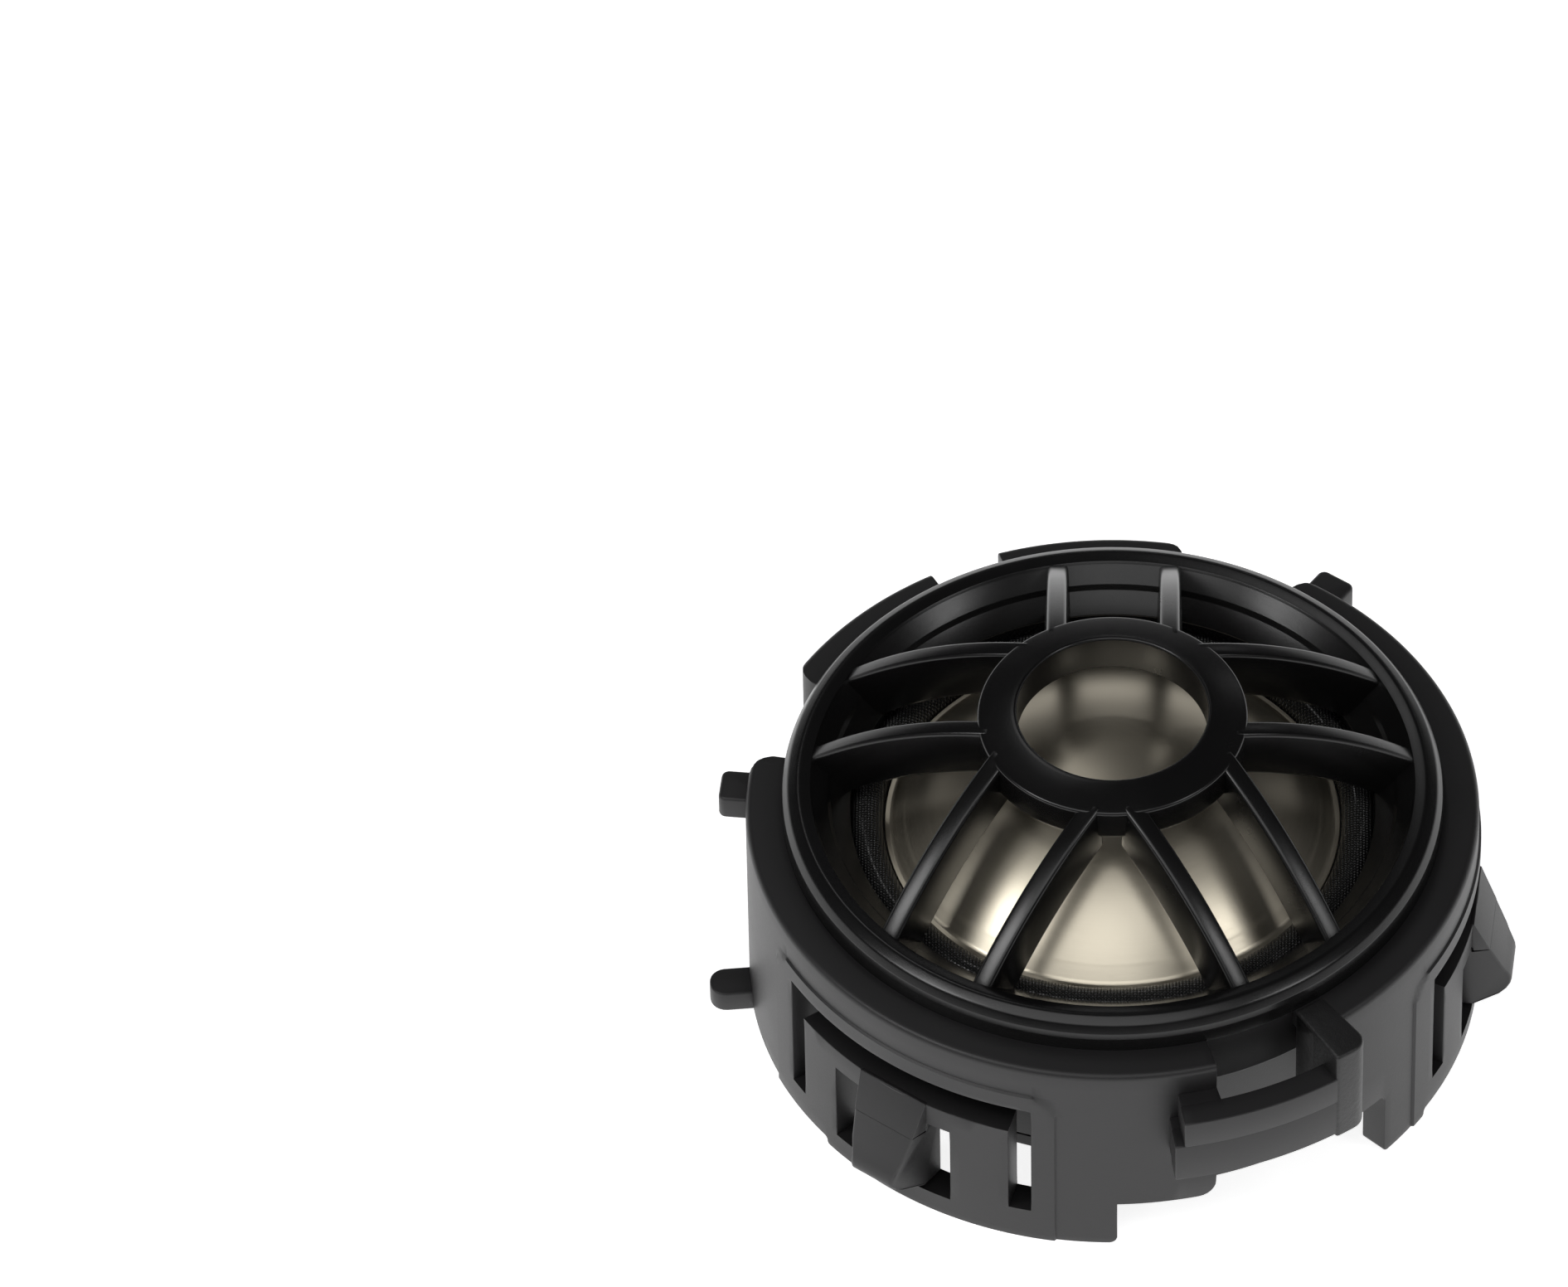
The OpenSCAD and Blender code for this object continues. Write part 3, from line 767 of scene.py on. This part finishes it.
# %% [markdown]
# ## Lugs
# The small blocks on the outside locate the tweeter in its bracket. One helper makes them all: a
# block with its two outer corners rounded, turned to its angle.


# %% Nubs, finger and corner hook
def lug(name, angle, inner, outer, width, low, high, round_end, edge=0.12):
    """A block that points outwards, its two outer corners rounded."""
    obj = block(name, (inner, -width / 2, low), (outer, width / 2, high), 0)
    round_edges(obj, lambda a, b: min(a.x, b.x) > outer - 0.01 and abs(a.z - b.z) > 0.1, round_end, 6)
    round_edges(obj, lambda a, b: True, edge, 3)
    at_angle(obj, angle)
    return obj


nub_left = lug("nub_left", 275.5, 20, 23.05, 2.35, -2.5, -0.85, 0.45, 0.2)
nub_rear = lug("nub_rear", 35.2, 20, 23.1, 2.4, -2.5, -0.65, 0.45, 0.25)
finger = lug("finger", 264, 19.9, 23.8, 2.1, FEET_Z, -13.0, 0.95)
corner = joined("corner_hook", [lug("corner_lug", 20.2, 20.5, 24.5, 1.95, FEET_Z, -10.9, 0.4),
                                rolled_block("corner_strip", 18, 32.5, 20.4, 22.0, FEET_Z + 0.15, -11.05, 0.15)])
for piece in (nub_left, nub_rear, finger, corner):
    finish_piece(piece, HOUSING, "shell", 30)

# %% [markdown]
# ## Snap hooks
# In the middle of each spring panel a ramp grows out of the skirt. Its upper part belongs to the
# panel. Its lower part is the hook, which turns inwards about its rounded root as the housing
# snaps in, so the two are separate pieces with a round joint between them.

# %% Ramps and hooks
AXIS_R, AXIS_Z, ROOT = 20.65, -7.8, 0.75
SLOPE = 2.3 / 5.5


def arc_points(centre, radius, start, end, steps):
    return [(centre[0] + radius * math.cos(math.radians(start + (end - start) * k / steps)),
             centre[1] + radius * math.sin(math.radians(start + (end - start) * k / steps)))
            for k in range(steps + 1)]


def face_r(z):
    """Radius of the ramp's sloping face at a height."""
    return SKIRT_R + (-5.3 - z) * SLOPE


def narrow(r):
    """The ramp's sides draw in towards its tip."""
    return 1 - 0.143 * min(1.4, max(0.0, r - 21.6)) - 0.3 * max(0.0, r - 23.0)


def at_split(a, b):
    """Edges where ramp and hook meet stay sharp, so that only a hair line shows between them."""
    return max(abs(a.z - AXIS_Z), abs(b.z - AXIS_Z)) < 0.08 and min(a.x, b.x) > 21.3


ramp_z = AXIS_Z + 0.02
ramp = [(20.3, -5.9), (20.95, -5.62), (21.3, -5.42), (21.48, -5.42), (face_r(ramp_z), ramp_z)]
ramp += arc_points((AXIS_R, AXIS_Z), ROOT + 0.09, 8, 145, 10)
hook = [(20.0, -12.4), *arc_points((AXIS_R, AXIS_Z), ROOT, 150, 0, 12),
        (face_r(AXIS_Z), AXIS_Z), (face_r(-9.4), -9.4), (23.32, -9.95), (23.52, -10.35), (23.66, -10.7),
        (23.7, -11.0), (23.64, -11.3), (23.42, -11.62), (23.0, -11.85), (21.55, -12.4)]
for clip, letter in zip(CLIPS, "abc"):
    fixed = prism("clip_ramp_" + letter, ramp, 4.7, clip, 0.14, narrow, at_split)
    finish_piece(fixed, HOUSING, "shell", 30)
    moving = prism("clip_hook_piece_" + letter, hook, 4.7, clip, 0.14, narrow, at_split)
    finish_piece(moving, HOUSING, "clip_" + letter, 30)
    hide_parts("clip_hook_" + letter)
print("three ramps and three hooks")

# %% [markdown]
# ## Bezel and grille
# One satin moulding: a rounded lip, a funnel down to the cloth, ten ribs in five pairs and a
# centre ring. Ribs and ring follow one sphere. Lip and ring are turned. One rib is a subdivided
# bar bent onto the sphere, and the other nine are copies of it.

# %% Lip and ring
FACE_R, FACE_Z = 26.05, -17.30


def face_z(r, drop=0.0):
    """Height of the grille's sphere at a radius, or of the one that lies drop inside it."""
    return FACE_Z + math.sqrt((FACE_R - drop) ** 2 - r * r)


lip = turned("bezel_lip", soften([
    (15.3, -0.95, 0), (15.3, -0.28, 0.15), (16.42, 0.72, 0.25), (16.62, 1.0, 0.2), (17.5, 1.8, 0.12),
    (17.62, 1.93, 0.05), (18.35, 2.06, 0.5), (18.95, 1.72, 0.5), (19.24, 1.25, 0.25), (19.3, 0.9, 0.1),
    (19.3, -0.04, 0.03), (17.65, -0.04, 0), (17.65, -0.95, 0)], 4), 240)
ring_top = [(r, face_z(r)) for r in (5.95, 6.6, 7.2, 7.55)]
ring = turned("centre_ring", soften(
    [(5.55, 5.7, 0.12), (5.55, face_z(5.55) - 0.02, 0.45)] + [(r, z, 0) for r, z in ring_top]
    + [(7.85, face_z(7.85), 0.75), (7.85, 5.5, 0.3), (5.8, 5.5, 0.1)], 7), 160)

# %% [markdown]
# ## Ribs
# A rib is modelled once. It is wider at its foot than at its top, so that it would leave a
# mould, and its own bevel rounds it before the copies are made.

# %% Ribs
RIB_OFF, RIB_TOP, RIB_FOOT = 3.3, 1.18, 1.5
bpy.ops.mesh.primitive_cube_add(size=1)
rib = bpy.context.object
rib.name = rib.data.name = "rib"
for v in rib.data.vertices:
    v.co.x = (6.3 if v.co.x < 0 else 17.6) * MM
slice_along(rib, "X", [6.3 + 11.3 * k / 22 for k in range(1, 22)])
for v in rib.data.vertices:
    r = math.hypot(v.co.x / MM, RIB_OFF)
    top = v.co.z > 0
    width = RIB_TOP if top else RIB_FOOT
    z = face_z(r) - 0.02 if top else max(face_z(r, 3.05), -0.6)
    v.co.y = (RIB_OFF + math.copysign(width / 2, v.co.y)) * MM
    v.co.z = z * MM
tidy_mesh(rib)
apply_modifier(rib, "BEVEL", width=0.24 * MM, segments=4, limit_method="ANGLE",
               angle_limit=math.radians(40))
ribs = []
for pair in range(5):
    for side in (1, -1):
        copy = rib.copy()
        copy.data = rib.data.copy()
        bpy.context.scene.collection.objects.link(copy)
        if side < 0:
            for v in copy.data.vertices:
                v.co.y = -v.co.y
            copy.data.flip_normals()
        at_angle(copy, 72 * pair)
        ribs.append(copy)
bpy.data.objects.remove(rib)
grille = joined("bezel_and_grille", [lip, ring, *ribs])
finish_piece(grille, BEZEL, "shell", 40)
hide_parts("bezel_grille")
print("grille triangles:", sum(len(p.vertices) - 2 for p in grille.data.polygons))

# %% [markdown]
# ## Dome
# A spherical cap of thin foil with a small land round it. A faint bead runs round it just
# inside the edge, left by the tool that pressed it.

# %% Dome
DOME_R, DOME_Z, DOME_H, FOIL = 13.15, -1.6, 5.3, 0.13
SPHERE = (DOME_R ** 2 + DOME_H ** 2) / (2 * DOME_H)
DOME_C = DOME_Z + DOME_H - SPHERE


def cap_z(r, inset=0.0):
    bead = 0.008 * math.exp(-((r - 12.2) / 0.12) ** 2)
    return DOME_C + math.sqrt((SPHERE - inset) ** 2 - r * r) + bead


top_edge = 12.98
outer = [(top_edge * k / 70, cap_z(top_edge * k / 70)) for k in range(71)]
inner = [(12.9 * k / 60, cap_z(12.9 * k / 60, FOIL + 0.02)) for k in range(60, -1, -1)]
dome = turned("gold_dome", outer + [(13.05, DOME_Z + 0.16), (13.26, DOME_Z + 0.14), (13.3, DOME_Z + 0.08),
                                    (13.28, DOME_Z + 0.01), (12.93, DOME_Z + 0.005)] + inner, 200)
finish_piece(dome, DOME_GOLD, "diaphragm", 50)
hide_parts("dome")

# %% [markdown]
# ## Surround
# The half-roll of coated cloth joins the moving dome to the fixed frame. It is made as sixteen
# equal sectors, each a copy turned to its place, so that neighbours meet.

# %% Surround
ROLL_IN, ROLL_OUT, CROWN = 13.35, 15.3, 0.85
SECTORS = 16
rows = []
for k in range(29):
    t = k / 28
    r = (ROLL_IN + ROLL_OUT) / 2 - (ROLL_OUT - ROLL_IN) / 2 * math.cos(math.pi * t)
    rows.append((r, -1.6 + 0.2 * t + CROWN * math.sin(math.pi * t)))
sheet_top = [(12.6, -1.605), (13.0, -1.605), (13.25, -1.6)] + rows + [(15.6, -1.4), (16.5, -1.4)]
sheet_low = [(r, z - 0.14) for r, z in sheet_top][::-1]
section = sheet_top + sheet_low
sector = outline("surround_sector", section, filled=True)
only(sector)
bpy.ops.object.mode_set(mode="EDIT")
bpy.ops.mesh.select_all(action="SELECT")
bpy.ops.mesh.delete(type="ONLY_FACE")
bpy.ops.mesh.select_all(action="SELECT")
bpy.ops.mesh.spin(steps=15, angle=2 * math.pi / SECTORS, center=(0, 0, 0), axis=(0, 0, 1))
bpy.ops.object.mode_set(mode="OBJECT")
tidy_mesh(sector)
for k in range(SECTORS):
    part = sector.copy()
    part.data = sector.data.copy()
    part.name = part.data.name = "surround_%02d" % k
    bpy.context.scene.collection.objects.link(part)
    at_angle(part, 90 - 360 / SECTORS * k)
    only(part)
    bpy.ops.object.shade_smooth_by_angle(angle=math.radians(50))
    part.data.materials.append(WEAVE)
    middle = math.radians(360 / SECTORS * (k + 0.5))
    along = Vector((math.cos(middle), math.sin(middle), 0))
    along * 13.3 * MM
    along * 15.2 * MM
    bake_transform(part)
    if k == 0:
        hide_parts("surround")
bpy.data.objects.remove(sector)
print("surround in", SECTORS, "sectors")

# %% [markdown]
# ## Floor and light
# The object stands on a light table: a pale floor that glows a little by itself. It lights the
# upright walls from below, so they read grey, while the flat tops mirror a dark ceiling and read
# black. A broad soft box hangs over the front for the dome, and smaller ones draw the edges.

# %% Floor
bpy.ops.mesh.primitive_plane_add(size=6, location=(0, 0, cad_box[0][2]))
floor = bpy.context.object
floor.name = "floor"
paper = Finish("pale_floor", Roughness=0.9, Emission_Strength=0.95)
pale = paper.tint(paper.grain(12, 3.0, 0.5), (0.88, 0.88, 0.88), (0.9, 0.9, 0.9))
paper.set(Base_Color=pale, Emission_Color=pale)
floor.data.materials.append(paper.material)

# %% [markdown]
# ## Lights
# Each soft box is an area light that faces the object. A large one in front brings out the dome,
# two narrow ones at the sides draw the lip, and three small ones behind pick out the ribs.


# %% Lights
def soft_box(name, azimuth, elevation, distance, size, power, tall=None):
    """An area light that faces the object; azimuth 0 is in front and 90 at the right."""
    a, e = math.radians(azimuth), math.radians(elevation)
    away = Vector((math.sin(a) * math.cos(e), -math.cos(a) * math.cos(e), math.sin(e)))
    bpy.ops.object.light_add(type="AREA", location=away * distance)
    light = bpy.context.object
    light.name = name
    light.data.shape = "RECTANGLE"
    light.data.size, light.data.size_y = size, tall or size
    light.data.energy = power
    light.rotation_euler = (-away).to_track_quat("-Z", "Y").to_euler()
    return light


soft_box("over_front", -12, 62, 0.7, 0.6, 1.35, 0.5)
soft_box("left_high", -68, 48, 0.7, 0.2, 1.0, 0.24)
soft_box("right_high", 66, 46, 0.8, 0.16, 0.7, 0.26)
soft_box("back_left", 178, 31, 0.9, 0.15, 0.035, 0.05)
soft_box("back_right", 155, 29, 0.9, 0.09, 0.022, 0.05)
soft_box("back_high", 200, 56, 0.8, 0.1, 0.16, 0.3)

# The room is pale at the horizon and dark overhead.
world = bpy.data.worlds.new("room")
bpy.context.scene.world = world
world.use_nodes = True
tree = world.node_tree
direction = add_node(tree, "TexCoord", out="Generated")
height = add_node(tree, "SeparateXYZ", out="Z", Vector=direction)
sky = add_node(tree, "ValToRGB", {"stops": ((0.08, (0.97, 0.97, 0.97)), (0.26, (0.03, 0.03, 0.032)))},
               Fac=height)
plug(tree, tree.nodes["Background"].inputs["Color"], sky)
tree.nodes["Background"].inputs["Strength"].default_value = 1.0
bpy.context.scene.view_settings.view_transform = "Standard"
